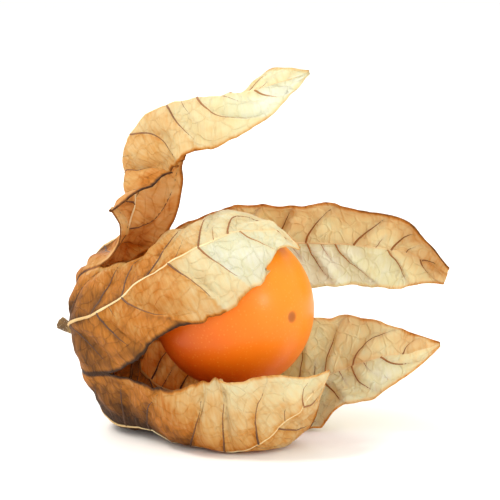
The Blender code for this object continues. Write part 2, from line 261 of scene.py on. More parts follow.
def section(place, along, facing, half, curl, fold, across):
    """Points across the lobe at one place: it curls evenly and folds along its midrib."""
    normal = unit(facing - np.dot(facing, along) * along)
    sideways = np.cross(along, normal)
    s = np.linspace(0, half, 41)
    turn = np.radians(curl) * s + np.radians(fold) * np.tanh(s / FOLD_LENGTH)
    step = s[1]
    out = np.concatenate([[0], np.cumsum((np.cos(turn[1:]) + np.cos(turn[:-1])) / 2 * step)])
    inwards = np.concatenate([[0], np.cumsum((np.sin(turn[1:]) + np.sin(turn[:-1])) / 2 * step)])
    x = np.interp(np.abs(across) * half, s, out) * np.sign(across)
    y = np.interp(np.abs(across) * half, s, inwards)
    return place + np.outer(x, sideways) - np.outer(y, normal)


def torn_margin(number, side):
    """The share of the half width that is left along one margin, from the rim to the tip."""
    at = np.linspace(0, 1, LOBE_ROWS + 1)
    ragged = [noise.fractal(Vector((11 * t, 3.1 * number, 5.7 * side)), 0.8, 2.1, 3) for t in at]
    return 1 - TORN * np.clip(at / 0.12, 0, 1) * np.clip(0.45 + np.array(ragged), 0, 1)


def sheet_lengths(grid):
    """How far each row of the sheet is from the hole, along the midrib, in millimetres."""
    midrib = grid[:, grid.shape[1] // 2]
    return np.concatenate([[0], np.cumsum(np.linalg.norm(np.diff(midrib, axis=0), axis=1))])


def vein_turns(number, lengths, across):
    """Where places on a lobe lie among its side veins: whole numbers are on a vein."""
    sign = np.sign(across)
    drifted = lengths + VEIN_DRIFT * np.sin(0.5 * lengths + 2.1 * number + 0.8 * sign)
    lean = VEIN_LEAN * (1 + 0.2 * np.sin(2.7 * number + 1.3 * sign)) * np.abs(across) ** 1.2
    return (drifted - lean) / VEIN_SPACING + 0.27 * number + 0.25 - VEIN_STAGGER * sign


def relief(grid, across, number):
    """The sheet with its midrib raised, puffed out between its side veins, and waved along its margins."""
    down = np.gradient(grid, axis=0)
    over = np.gradient(grid, axis=1)
    normals = unit(np.cross(over, down))
    length = sheet_lengths(grid)
    width = np.linalg.norm(grid[:, 0] - grid[:, -1], axis=1)
    # Ruffles start over 8 mm past the rim, and all relief fades over 6 mm at the hole and in the tip.
    free = np.clip((length - length[CUP_ROWS - 1]) / 8, 0, 1)[:, None]
    small = np.clip(width / 8, 0, 1)[:, None]
    started = np.clip(length / 6, 0, 1)[:, None]
    side = np.abs(across)
    turns = vein_turns(number, length[:, None], across)
    from_vein = 2 * np.abs(turns - np.round(turns))
    puff = 1 - 2 * (1 - from_vein) ** CREASING
    height = RIB_HEIGHT * started * small * np.exp(-((side / RIB_SHARE) ** 2))
    height = height + PUCKER * started * small * puff * np.sin(np.pi * side) * (side < 1)
    # Each lobe's two margins wave out of step with each other and with the next lobe's.
    wave = np.sin(2 * np.pi * length[:, None] / RUFFLE_LENGTH + 1.7 * number + 1.3 * np.sign(across))
    height = height + RUFFLE * free * small * side**3 * wave
    return grid + height[..., None] * normals


def onto_floor(points, level):
    """The points, with the low ones laid flat just over the floor and bent down to it at the feet."""
    level = level + FOOT_LIFT
    for x, y in FEET:
        apart = np.hypot(points[..., 0] - x, points[..., 1] - y) / FOOT_RADIUS
        level = level - FOOT_LIFT * np.clip(1 - apart**2, 0, 1) ** 2
    t = np.clip((points[..., 2] - level) / FLAT_EDGE, -1, 1)
    laid = level + FLAT_EDGE * (t + 1) ** 2 / 4
    points = points.copy()
    points[..., 2] = np.where(t < 1, laid, points[..., 2])
    return points


def husk_age(lobe, number, lengths, across):
    """Browning of a fifth of the husk: one tone at the hole, then each lobe's own, mixed at the seams."""
    rim = lengths[CUP_ROWS - 1]
    turns = vein_turns(number, lengths[:, None], across)
    evened = lengths[:, None] + PANEL_STEP * VEIN_SPACING * (0.5 - turns % 1)
    along = (evened - rim) / (lengths[-1] - rim)
    left, middle, right = [
        np.interp(along, [-0.3, 0, 0.33, 0.67, 1], [HOLE_AGE, *ages]) for ages in lobe.ages
    ]
    own = middle + np.abs(across) * (np.where(across < 0, left, right) - middle)
    own = own + PANEL_TONE * np.sin(12.9 * np.floor(turns) + 7.7 * np.sign(across) + number)
    before, after = HUSK_LOBES[number - 1], HUSK_LOBES[(number + 1) % LOBES]
    here = before.ages[2][0] + lobe.ages[0][0], after.ages[0][0] + lobe.ages[2][0]
    shared = np.where(across < 0, *here) / 2
    mixing = np.abs(across) ** 3 * np.exp(-np.clip(lengths - rim, 0, None) / 5)[:, None]
    at_hole = np.clip(lengths / rim, 0, 1)[:, None]
    return own + mixing * at_hole * (shared - own)


def vein_nearness(number, along, across, beside):
    """1 on the midrib, 0.8 on a side vein near it, and almost 0 a millimetre away from them."""
    side = np.abs(across)
    turns = vein_turns(number, along, across)
    off = np.abs(turns - np.round(turns)) * VEIN_SPACING
    midrib = np.exp(-((beside / 0.55) ** 2))
    side_veins = 0.8 * np.exp(-((off / 0.45) ** 2)) * np.clip(1.2 - side, 0, 1)
    return np.maximum(midrib, side_veins)


across = np.linspace(-1, 1, LOBE_COLUMNS + 1)
sheets = []
for number, lobe in enumerate(HUSK_LOBES):
    left, right = torn_margin(number, -1), torn_margin(number, 1)
    ragged = across * np.where(across < 0, left[:, None], right[:, None])
    midrib_angle = FIRST_LOBE + number * LOBE_ANGLE
    cup = [cup_point(row, midrib_angle + across * LOBE_ANGLE / 2) for row in np.linspace(0, 1, CUP_ROWS)]
    sheet_across = np.concatenate([np.tile(across, (CUP_ROWS, 1)), ragged[1:]])
    grid = np.concatenate([cup, lobe_points(lobe, midrib_angle, across, ragged)])
    grid = relief(grid, sheet_across, number)
    lengths = sheet_lengths(grid)
    halves = np.linalg.norm(np.diff(grid, axis=1), axis=2).sum(axis=1)[:, None] / 2
    along = np.broadcast_to(lengths[:, None], sheet_across.shape)
    sheets.append({
        "grid": grid,
        "along": along,
        "beside": across * halves,
        "margin": (1 - np.abs(across)) * halves,
        "age": husk_age(lobe, number, lengths, sheet_across),
        "vein": vein_nearness(number, along, sheet_across, across * halves),
    })

# The five sheets are one: the points along the cup's seams are shared.
loose = np.concatenate([sheet["grid"].reshape(-1, 3) for sheet in sheets])
_, first, joined = np.unique(np.round(loose, 4), axis=0, return_index=True, return_inverse=True)
joined = joined.reshape(-1)
husk_points = loose[first]
corners = joined.reshape(LOBES, CUP_ROWS + LOBE_ROWS, LOBE_COLUMNS + 1)
own_corners = np.arange(len(joined)).reshape(corners.shape)


def quads_of(numbers):
    """The sheets' faces, each as its four corners from an array of point numbers."""
    return np.stack([
        numbers[:, :-1, :-1], numbers[:, :-1, 1:], numbers[:, 1:, 1:], numbers[:, 1:, :-1]
    ], axis=-1).reshape(-1, 4)


husk_faces = quads_of(corners)


def outward(points, faces):
    """The unit normal at each point, from the faces round it."""
    p = points[faces]
    faced = np.cross(p[:, 2] - p[:, 0], p[:, 3] - p[:, 1])
    summed = np.zeros_like(points)
    for corner in range(4):
        np.add.at(summed, faces[:, corner], faced)
    return unit(summed)


def joined_value(name):
    """A value of the sheets at each joined point, averaged where sheets meet."""
    values = np.concatenate([sheet[name].reshape(-1) for sheet in sheets])
    return np.bincount(joined, values) / np.bincount(joined)


# Dry sepals crumple: broad dents, sharp folds, and small pillows between the net of the finest veins.
DENT, DENT_SIZE = 0.50, 7.0
CREASE, CREASE_SIZE = 0.38, 4.6
PILLOW, PILLOW_SIZE = 0.12, 2.4


def crumple(place):
    """How far the sheet stands out of its smooth form at a place."""
    dent = noise.noise(place / DENT_SIZE)
    crease = 0.4 - 2 * abs(noise.noise(place / CREASE_SIZE + Vector((7, 3, 1))))
    near = noise.voronoi(place / PILLOW_SIZE)[0]
    pillow = min(1.0, 2.2 * (near[1] - near[0])) - 0.5
    return DENT * dent + CREASE * crease + PILLOW * pillow


steady = np.clip(joined_value("margin") / 2 + 0.5, 0, 1) * np.clip(joined_value("along") / 5, 0, 1)
lift = np.array([crumple(Vector(place)) for place in husk_points]) * steady
husk_points = husk_points + lift[:, None] * outward(husk_points, husk_faces)
husk_points = onto_floor(husk_points, PAPER / 2) + SHIFT


def mesh_object(name, points, faces, materials):
    """A smooth-shaded mesh of points in millimetres, at the origin."""
    data = bpy.data.meshes.new(name)
    data.from_pydata((np.asarray(points) * MM).tolist(), [], [list(face) for face in faces])
    data.shade_smooth()
    for finish in materials:
        data.materials.append(finish)
    made = bpy.data.objects.new(name, data)
    bpy.context.scene.collection.objects.link(made)
    return made


def colour(code):
    """A hex colour as the linear values that a shader takes."""
    parts = [int(code[i : i + 2], 16) / 255 for i in (1, 3, 5)]
    return (*[p / 12.92 if p <= 0.04045 else ((p + 0.055) / 1.055) ** 2.4 for p in parts], 1)


def add_node(tree, kind, settings=None, stops=(), **inputs):
    """A node of a tree. Inputs are values or sockets, by name or as i0, i1; stops are a colour ramp's."""
    node = tree.nodes.new(kind)
    for name, value in (settings or {}).items():
        setattr(node, name, value)
    if stops:
        marks = node.color_ramp.elements
        for _ in stops[2:]:
            marks.new(0.5)
        for mark, (position, code) in zip(marks, stops):
            mark.position, mark.color = position, colour(code)
    for name, value in inputs.items():
        key = int(name[1:]) if name[1:].isdigit() else name.replace("_", " ")
        if isinstance(value, bpy.types.NodeSocket):
            tree.links.new(value, node.inputs[key])
        else:
            node.inputs[key].default_value = value
    return node


def new_material(name):
    """An empty node material, its tree and its output."""
    made = bpy.data.materials.new(name)
    made.use_nodes = True
    made.node_tree.nodes.clear()
    return made, made.node_tree, add_node(made.node_tree, "ShaderNodeOutputMaterial")


# Dried sepal: pale and still greenish, cream, golden tan, orange brown, dark brown.
HUSK_AGES = [
    (0.00, "#EEF0E0"), (0.14, "#E7E7C6"), (0.28, "#ECE0B2"), (0.42, "#E8CE96"),
    (0.56, "#DFB066"), (0.70, "#CE842A"), (0.84, "#985E1C"), (1.00, "#4A2D14"),
]
LIGHT_THROUGH = "#FFE9B8"  # warms the light that comes through the sheet
BLOTCH, FLECK = 5.88, 1.43  # how far across the two sizes of brown stains are
FIBRE_SPACING, FIBRE_LENGTH = 0.3125, 2.0
NET_CELL = 1.613  # how far across a cell of the net of finest veins is
NET_WANDER = 1.25  # the net bends to and fro over this length
EDGE_WIDTH = 0.6  # the margins are browner over this width


def husk_paper(name, paler):
    """Dried sepal: a net of veins with thin tissue between, dull, browned along its veins and margins and
    in blotches, with fibres that run out from the midrib, and thin enough to let light through."""
    made, tree, output = new_material(name)
    place = add_node(tree, "ShaderNodeTexCoord").outputs["Object"]
    sheet = add_node(tree, "ShaderNodeUVMap", {"uv_map": "sheet"}).outputs["UV"]
    age, vein, margin = [
        add_node(tree, "ShaderNodeAttribute", {"attribute_name": kept}).outputs["Fac"]
        for kept in ("age", "vein", "margin")
    ]
    blotch, fleck = [
        add_node(tree, "ShaderNodeTexNoise", Vector=place, Scale=1 / (size * MM), Detail=3.0).outputs["Fac"]
        for size in (BLOTCH, FLECK)
    ]
    drawn = add_node(
        tree, "ShaderNodeMapping", Vector=sheet, Scale=(1 / FIBRE_SPACING, 1 / FIBRE_LENGTH, 1.0)
    ).outputs[0]
    fibre = add_node(tree, "ShaderNodeTexNoise", Vector=drawn, Scale=1.0, Detail=4.0).outputs["Fac"]
    wander = add_node(
        tree, "ShaderNodeTexNoise", Vector=sheet, Scale=1 / NET_WANDER, Detail=1.0
    ).outputs["Color"]
    shaken = add_node(
        tree, "ShaderNodeMix", {"data_type": "RGBA", "blend_type": "LINEAR_LIGHT"},
        i0=0.35, i6=sheet, i7=wander,
    ).outputs[2]
    cells = add_node(
        tree, "ShaderNodeTexVoronoi", {"feature": "DISTANCE_TO_EDGE"}, Vector=shaken, Scale=1 / NET_CELL
    ).outputs["Distance"]
    net = add_node(
        tree, "ShaderNodeMapRange", {"interpolation_type": "SMOOTHSTEP"},
        Value=cells, From_Min=0.0, From_Max=0.10, To_Min=1.0, To_Max=0.0,
    ).outputs[0]
    edge = add_node(
        tree, "ShaderNodeMapRange", {"interpolation_type": "SMOOTHSTEP"},
        Value=margin, From_Min=0.0, From_Max=EDGE_WIDTH, To_Min=0.32, To_Max=0.0,
    ).outputs[0]
    # What moves the age, by how much, and at what value it moves nothing.
    stains = [
        (blotch, 0.42, 0.5), (fleck, 0.22, 0.5), (fibre, 0.26, 0.5),
        (edge, 1, 0), (net, 0.035, 0), (vein, 0.1, 0),
    ]
    worn = age
    for stain, share, middle in stains:
        moved = add_node(
            tree, "ShaderNodeMath", {"operation": "MULTIPLY_ADD"}, i0=stain, i1=share, i2=-share * middle
        ).outputs[0]
        worn = add_node(tree, "ShaderNodeMath", {"operation": "ADD"}, i0=worn, i1=moved).outputs[0]
    worn = add_node(
        tree, "ShaderNodeMath", {"operation": "SUBTRACT", "use_clamp": True}, i0=worn, i1=paler
    ).outputs[0]
    skin = add_node(tree, "ShaderNodeValToRGB", stops=HUSK_AGES, i0=worn).outputs[0]
    raised = 0.0
    for grain, share in ((net, 0.6), (fibre, 0.7), (fleck, 0.5)):
        raised = add_node(
            tree, "ShaderNodeMath", {"operation": "MULTIPLY_ADD"}, i0=grain, i1=share, i2=raised
        ).outputs[0]
    bump = add_node(tree, "ShaderNodeBump", Strength=0.55, Distance=0.25 * MM, Height=raised).outputs[0]
    dry = add_node(
        tree, "ShaderNodeMapRange", Value=fleck, From_Min=0.3, From_Max=0.7, To_Min=0.5, To_Max=0.72
    ).outputs[0]
    front = add_node(
        tree, "ShaderNodeBsdfPrincipled", Base_Color=skin, Roughness=dry, Normal=bump,
        Specular_IOR_Level=0.35,
    ).outputs[0]
    glow = add_node(
        tree, "ShaderNodeMix", {"data_type": "RGBA", "blend_type": "MULTIPLY"},
        i0=0.25, i6=skin, i7=colour(LIGHT_THROUGH),
    ).outputs[2]
    through = add_node(tree, "ShaderNodeBsdfTranslucent", Color=glow, Normal=bump).outputs[0]
    both = add_node(tree, "ShaderNodeMixShader", i0=0.42, i1=front, i2=through).outputs[0]
    tree.links.new(both, output.inputs["Surface"])
    return made


husk_outside = husk_paper("husk_paper_outside", 0.0)
husk_inside = husk_paper("husk_paper_inside", 0.10)
husk = mesh_object("husk_sheet", husk_points, husk_faces, [husk_outside, husk_inside])
for name in ("age", "margin", "vein"):
    layer = husk.data.attributes.new(name, "FLOAT", "POINT")
    layer.data.foreach_set("value", joined_value(name).astype(np.float32))
# The UV map is the sheet laid flat, in millimetres, with its fifths 60 mm apart.
spread = np.stack([
    np.concatenate([sheet["along"].reshape(-1) + 60 * number for number, sheet in enumerate(sheets)]),
    np.concatenate([sheet["beside"].reshape(-1) for sheet in sheets]),
], axis=-1)
flat = husk.data.uv_layers.new(name="sheet")
flat.data.foreach_set("uv", spread[quads_of(own_corners).reshape(-1)].astype(np.float32).reshape(-1))
thick = husk.modifiers.new("thickness", "SOLIDIFY")
thick.thickness = PAPER * MM
thick.offset = 0
thick.material_offset = 1  # the second material is the husk's other face
thick.material_offset_rim = 0
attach(husk, "root")
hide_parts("husk")

# ---------------------------------------------------------------------------------------------------
# The husk's ribs: a strong midrib down each sepal, a rib along each seam of the cup, and side veins
# that leave the midrib in pairs. They are woody threads that stand out of the dry sheet on both sides.

RIB_SIDES = 8
MIDRIB = (0.25, 0.08)  # radius at the hole and at the lobe's tip
SEAM = (0.20, 0.04)
SIDE_VEIN = (0.16, 0.06)  # radius at the midrib and at the margin
FINE_VEIN = (0.10, 0.04)


def on_sheet(number, row, column):
    """A place on one fifth of the finished sheet at fractional rows and columns."""
    low_row = np.clip(np.floor(row).astype(int), 0, corners.shape[1] - 2)
    low_column = np.clip(np.floor(column).astype(int), 0, corners.shape[2] - 2)
    r, c = (row - low_row)[:, None], (column - low_column)[:, None]
    grid = corners[number]
    near, far = [
        husk_points[grid[at, low_column]] * (1 - c) + husk_points[grid[at, low_column + 1]] * c
        for at in (low_row, low_row + 1)
    ]
    return near * (1 - r) + far * r


threads = []  # (places, radii, tones), with tone 0 for pale and 1 for dark
chance = np.random.default_rng(11)
for number, sheet in enumerate(sheets):
    lengths = sheet["along"][:, 0]
    last = len(lengths) - 1
    middle = LOBE_COLUMNS / 2
    rows = np.arange(1, last, 1.0)
    # Each midrib is dark brown at the hole and pale past 12 mm; the pale tone is a painted highlight along
    # the raised rib.
    threads.append((on_sheet(number, rows, np.full(len(rows), middle)),
                    np.interp(lengths[1:last], [0, lengths[-1]], MIDRIB),
                    np.interp(lengths[1:last], [0, 12, 22], [0.95, 0.30, 0.15])))
    rows = np.arange(1, CUP_ROWS - 1.0)
    threads.append((on_sheet(number, rows, np.full(len(rows), 0.0)), np.linspace(*SEAM, len(rows)),
                    np.full(len(rows), 0.6)))
    for half_turn in range(2 * int(lengths[-1] / VEIN_SPACING) + 4):
        strong = half_turn % 2 == 0
        for side in (-1, 1):
            shown = 0.95 if strong else chance.uniform(0.1, 0.85)
            if shown < 0.35:
                continue
            s = np.linspace(0.001, shown, 28)
            turns = vein_turns(number, lengths, side * s[:, None])
            row = np.array([np.interp(half_turn / 2, found, np.arange(last + 1.0)) for found in turns])
            reach = np.interp(row, np.arange(last + 1.0), lengths)
            kept = (reach < lengths[-1] - 0.8) & (reach > 1.0)
            if kept.sum() < 6:
                continue
            s, row = s[kept], row[kept]
            narrow = np.interp(row, np.arange(last + 1.0), np.clip(sheet["beside"][:, -1] / 4, 0.3, 1))
            radius = np.interp(s, [0, 1], SIDE_VEIN if strong else FINE_VEIN) * narrow
            column = middle * (1 + side * s)
            tone = 0.45 + 0.6 * sheet["age"][row.astype(int), column.astype(int)]
            threads.append((on_sheet(number, row, column), radius, tone))

line_points = np.concatenate([places for places, _, _ in threads])
line_radius = np.concatenate([radii for _, radii, _ in threads])
line_tone = np.concatenate([tones for _, _, tones in threads])
line_points[:, 2] = np.maximum(line_points[:, 2], line_radius)  # no thread sinks into the table
counts = np.array([len(radii) for _, radii, _ in threads])
ends = np.cumsum(counts)
pairs = np.array([(i, i + 1) for start, end in zip(ends - counts, ends) for i in range(start, end - 1)])
line_data = bpy.data.meshes.new("rib_lines")
line_data.from_pydata((line_points * MM).tolist(), pairs.tolist(), [])
for name, values in (("thickness", line_radius), ("tone", line_tone)):
    layer = line_data.attributes.new(name, "FLOAT", "POINT")
    layer.data.foreach_set("value", values.astype(np.float32))
lines = bpy.data.objects.new("rib_lines", line_data)
bpy.context.scene.collection.objects.link(lines)

RIB_TONES = [(0.1, "#E9D6A4"), (0.35, "#C99A55"), (0.6, "#95602A"), (0.9, "#55341A")]
RIB_BLOTCH, RIB_GRAIN = 3.85, 0.385


def dry_rib():
    """Woody thread of dried vein: brown, and paler along the midribs away from the hole, which is a painted
    highlight along the raised rib.
    """
    made, tree, output = new_material("dry_rib")
    place = add_node(tree, "ShaderNodeTexCoord").outputs["Object"]
    blotch = add_node(
        tree, "ShaderNodeTexNoise", Vector=place, Scale=1 / (RIB_BLOTCH * MM), Detail=4.0
    ).outputs["Fac"]
    tone = add_node(tree, "ShaderNodeAttribute", {"attribute_name": "tone"}).outputs["Fac"]
    uneven = add_node(
        tree, "ShaderNodeMath", {"operation": "MULTIPLY_ADD"}, i0=blotch, i1=0.4, i2=-0.2
    ).outputs[0]
    tone = add_node(tree, "ShaderNodeMath", {"operation": "ADD"}, i0=tone, i1=uneven).outputs[0]
    skin = add_node(tree, "ShaderNodeValToRGB", stops=RIB_TONES, i0=tone).outputs[0]
    rough = add_node(
        tree, "ShaderNodeTexNoise", Vector=place, Scale=1 / (RIB_GRAIN * MM), Detail=2.0
    ).outputs["Fac"]
    bump = add_node(tree, "ShaderNodeBump", Strength=0.4, Distance=0.1 * MM, Height=rough).outputs[0]
    shader = add_node(tree, "ShaderNodeBsdfPrincipled", Base_Color=skin, Roughness=0.62, Normal=bump)
    tree.links.new(shader.outputs[0], output.inputs["Surface"])
    return made


rib_finish = dry_rib()
tree = bpy.data.node_groups.new("ribs_along_lines", "GeometryNodeTree")
tree.interface.new_socket("Geometry", in_out="INPUT", socket_type="NodeSocketGeometry")
tree.interface.new_socket("Sides", in_out="INPUT", socket_type="NodeSocketInt")
tree.interface.new_socket("Swell", in_out="INPUT", socket_type="NodeSocketFloat")
tree.interface.new_socket("Geometry", in_out="OUTPUT", socket_type="NodeSocketGeometry")
given = add_node(tree, "NodeGroupInput")
thickness = add_node(
    tree, "GeometryNodeInputNamedAttribute", {"data_type": "FLOAT"}, Name="thickness"
).outputs[0]
swollen = add_node(
    tree, "ShaderNodeMath", {"operation": "MULTIPLY"}, i0=thickness, i1=given.outputs["Swell"]
).outputs[0]
paths = add_node(tree, "GeometryNodeMeshToCurve", Mesh=given.outputs["Geometry"]).outputs[0]
ring = add_node(
    tree, "GeometryNodeCurvePrimitiveCircle", Resolution=given.outputs["Sides"], Radius=MM
).outputs[0]
tubes = add_node(
    tree, "GeometryNodeCurveToMesh", Curve=paths, Profile_Curve=ring, Scale=swollen, Fill_Caps=True
).outputs[0]
smooth = add_node(tree, "GeometryNodeSetShadeSmooth", i0=tubes).outputs[0]
real = add_node(tree, "GeometryNodeRealizeInstances", i0=smooth).outputs[0]
dressed = add_node(tree, "GeometryNodeSetMaterial", Geometry=real, Material=rib_finish).outputs[0]
result = add_node(tree, "NodeGroupOutput")
tree.links.new(dressed, result.inputs[0])


def grown(tree, carrier, name, **sizes):
    """The mesh that a node tree grows on a carrier object, as a plain object; the carrier is removed."""
    growth = carrier.modifiers.new("growth", "NODES")
    growth.node_group = tree
    for item in tree.interface.items_tree:
        if item.in_out == "INPUT" and item.name.replace(" ", "_") in sizes:
            growth[item.identifier] = sizes[item.name.replace(" ", "_")]
    graph = bpy.context.evaluated_depsgraph_get()
    data = bpy.data.meshes.new_from_object(carrier.evaluated_get(graph))
    data.name = name
    bpy.data.objects.remove(carrier)
    made = bpy.data.objects.new(name, data)
    bpy.context.scene.collection.objects.link(made)
    return made


ribs = grown(tree, lines, "husk_ribs", Sides=RIB_SIDES, Swell=1.0)
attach(ribs, "root")
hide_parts("husk")

# ---------------------------------------------------------------------------------------------------
# The berry: a ripe, thin-skinned ball full of juice, with a dimple where the stalk enters, a faint
# seam between its two halves and the flower's small scar on its side.

DIMPLE_DEPTH, DIMPLE_RADIUS = 0.7, 2.6
SCAR_DEPTH, SCAR_RADIUS = 0.18, 0.9
SCAR_DIRECTION = np.array([0.718, -0.695, 0.034])
SEAM_SWELL = 0.008
BERRY_SEGMENTS, BERRY_RINGS = 192, 112

places = [np.array([0, 0, -1.0])]
for ring in range(1, BERRY_RINGS):
    polar = math.pi * ring / BERRY_RINGS
    turned = np.linspace(0, 2 * math.pi, BERRY_SEGMENTS, endpoint=False)
    places += list(np.stack([
        math.sin(polar) * np.cos(turned), math.sin(polar) * np.sin(turned),
        np.full(BERRY_SEGMENTS, -math.cos(polar)),
    ], axis=-1))
places = np.array([*places, np.array([0, 0, 1.0])])
x, y, z = places.T
directions = np.outer(x, HUSK_UP) + np.outer(y, HUSK_FRONT) + np.outer(z, HUSK_AXIS)
from_stalk = np.arccos(np.clip(-z, -1, 1))
from_scar = np.arccos(np.clip(directions @ SCAR_DIRECTION, -1, 1))
radius = BERRY_RADIUS * (1 + SEAM_SWELL * np.cos(2 * np.arctan2(y, x)) * (1 - z * z))
radius = radius - DIMPLE_DEPTH * np.exp(-((from_stalk * BERRY_RADIUS / DIMPLE_RADIUS) ** 2))
radius = radius - SCAR_DEPTH * np.exp(-((from_scar * BERRY_RADIUS / SCAR_RADIUS) ** 2))
top = len(places) - 1
faces = []
for ring in range(BERRY_RINGS - 2):
    low = 1 + ring * BERRY_SEGMENTS
    for i in range(BERRY_SEGMENTS):
        j = (i + 1) % BERRY_SEGMENTS
        faces.append((low + i, low + j, low + BERRY_SEGMENTS + j, low + BERRY_SEGMENTS + i))
for i in range(BERRY_SEGMENTS):
    j = (i + 1) % BERRY_SEGMENTS
    faces.append((0, 1 + j, 1 + i))
    faces.append((top, top - BERRY_SEGMENTS + i, top - BERRY_SEGMENTS + j))


# Berry oranges from deep red-orange in painted shade to light orange in painted light; the side below is
# the one the painted light falls on, up and to the right.
BERRY_SHADE_TO_LIGHT_TONES = [(0.1, "#CC4E02"), (0.4, "#E26A02"), (0.65, "#EC7C06"), (0.95, "#F08C10")]
PAINTED_LIGHT_SIDE = (0.62, -0.1, 0.77)
PORE_COLOUR, SCAR_COLOUR = "#FFC060", "#8A4310"
CLOUD, SWELLING = 6.25, 2.38
PORE = 0.4545  # spacing of the pores, wider than on a real skin, so that they show


def berry_skin():
    """Waxy skin of a ripe berry, over juicy flesh that light sinks into: deeper orange on the lower left,
    towards the stalk, as painted shade, and lighter orange on the upper right as painted light, with pale
    pores, a soft gloss that a dull bloom breaks up, and a brown scar from the flower."""
    made, tree, output = new_material("berry_skin")
    place = add_node(tree, "ShaderNodeTexCoord").outputs["Object"]
    middle = tuple((BERRY_CENTRE + SHIFT) * MM)
    off = add_node(
        tree, "ShaderNodeVectorMath", {"operation": "SUBTRACT"}, i0=place, i1=middle
    ).outputs[0]
    # Painted light and shade: the skin is made lighter towards the upper right and darker towards the lower
    # left, with a mottled cloud added on top.
    ripe = add_node(
        tree, "ShaderNodeVectorMath", {"operation": "DOT_PRODUCT"}, i0=off, i1=PAINTED_LIGHT_SIDE
    ).outputs["Value"]
    cloud = add_node(
        tree, "ShaderNodeTexNoise", Vector=place, Scale=1 / (CLOUD * MM), Detail=3.0
    ).outputs["Fac"]
    ripe = add_node(
        tree, "ShaderNodeMath", {"operation": "MULTIPLY_ADD"},
        i0=ripe, i1=1 / (BERRY_RADIUS * MM), i2=-0.25,
    ).outputs[0]
    ripe = add_node(
        tree, "ShaderNodeMath", {"operation": "MULTIPLY_ADD"}, i0=cloud, i1=0.5, i2=ripe
    ).outputs[0]
    ripe = add_node(
        tree, "ShaderNodeMapRange", Value=ripe, From_Min=-1.0, From_Max=1.0, To_Min=0.0, To_Max=1.0
    ).outputs[0]
    skin = add_node(tree, "ShaderNodeValToRGB", stops=BERRY_SHADE_TO_LIGHT_TONES, i0=ripe).outputs[0]
    pores = add_node(
        tree, "ShaderNodeTexVoronoi", Vector=place, Scale=1 / (PORE * MM)
    ).outputs["Distance"]
    dots = add_node(
        tree, "ShaderNodeMapRange", {"interpolation_type": "SMOOTHSTEP"},
        Value=pores, From_Min=0.0, From_Max=0.35, To_Min=0.0, To_Max=1.0,
    ).outputs[0]
    paleness = add_node(
        tree, "ShaderNodeMath", {"operation": "MULTIPLY_ADD"}, i0=dots, i1=-0.18, i2=0.18
    ).outputs[0]
    skin = add_node(
        tree, "ShaderNodeMix", {"data_type": "RGBA"}, i0=paleness, i6=skin, i7=colour(PORE_COLOUR)
    ).outputs[2]
    facing = add_node(tree, "ShaderNodeVectorMath", {"operation": "NORMALIZE"}, i0=off).outputs[0]
    facing = add_node(
        tree, "ShaderNodeVectorMath", {"operation": "DOT_PRODUCT"}, i0=facing, i1=tuple(SCAR_DIRECTION)
    ).outputs["Value"]
    scarred = add_node(
        tree, "ShaderNodeMapRange", {"interpolation_type": "SMOOTHSTEP"},
        Value=facing, From_Min=0.9955, From_Max=0.9995, To_Min=0.0, To_Max=0.75,
    ).outputs[0]
    skin = add_node(
        tree, "ShaderNodeMix", {"data_type": "RGBA"}, i0=scarred, i6=skin, i7=colour(SCAR_COLOUR)
    ).outputs[2]
    swell = add_node(
        tree, "ShaderNodeTexNoise", Vector=place, Scale=1 / (SWELLING * MM), Detail=2.0
    ).outputs["Fac"]
    height = add_node(
        tree, "ShaderNodeMath", {"operation": "MULTIPLY_ADD"}, i0=dots, i1=0.25, i2=swell
    ).outputs[0]
    bump = add_node(tree, "ShaderNodeBump", Strength=0.12, Distance=0.2 * MM, Height=height).outputs[0]
    bloom = add_node(
        tree, "ShaderNodeMapRange", Value=cloud, From_Min=0.3, From_Max=0.7, To_Min=0.36, To_Max=0.48
    ).outputs[0]
    shader = add_node(
        tree, "ShaderNodeBsdfPrincipled", Base_Color=skin, Roughness=bloom, Normal=bump,
        Specular_IOR_Level=0.28, Coat_Weight=0.08, Coat_Roughness=0.15,
        Subsurface_Weight=0.20, Subsurface_Radius=(0.8, 0.25, 0.05), Subsurface_Scale=2 * MM,
    )
    tree.links.new(shader.outputs[0], output.inputs["Surface"])
    return made


berry_points = BERRY_CENTRE + SHIFT + radius[:, None] * directions
berry = mesh_object("ripe_berry", berry_points, faces, [berry_skin()])
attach(berry, "root")
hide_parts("berry")

# ---------------------------------------------------------------------------------------------------
# The stalk: a dry, ridged stem that passes through the husk's hole and widens into the pale cone
# that the berry grew on. Its outer end was broken off, and it is covered in short soft hairs.

STEM_PROFILE = [  # (place along the husk's axis from its hole, bend upwards, radius)
    (-12.5, 2.6, 0.75), (-11.6, 1.9, 0.60), (-8.5, 0.5, 0.52), (-5.0, 0.0, 0.56),
    (-2.0, 0.0, 0.72), (0.0, 0.0, 0.95), (1.6, 0.0, 1.40), (2.9, 0.0, 2.00),
]
STEM_ROWS, STEM_SIDES = 150, 40
STEM_RIDGES, STEM_RIDGE_DEPTH = 7, 0.07

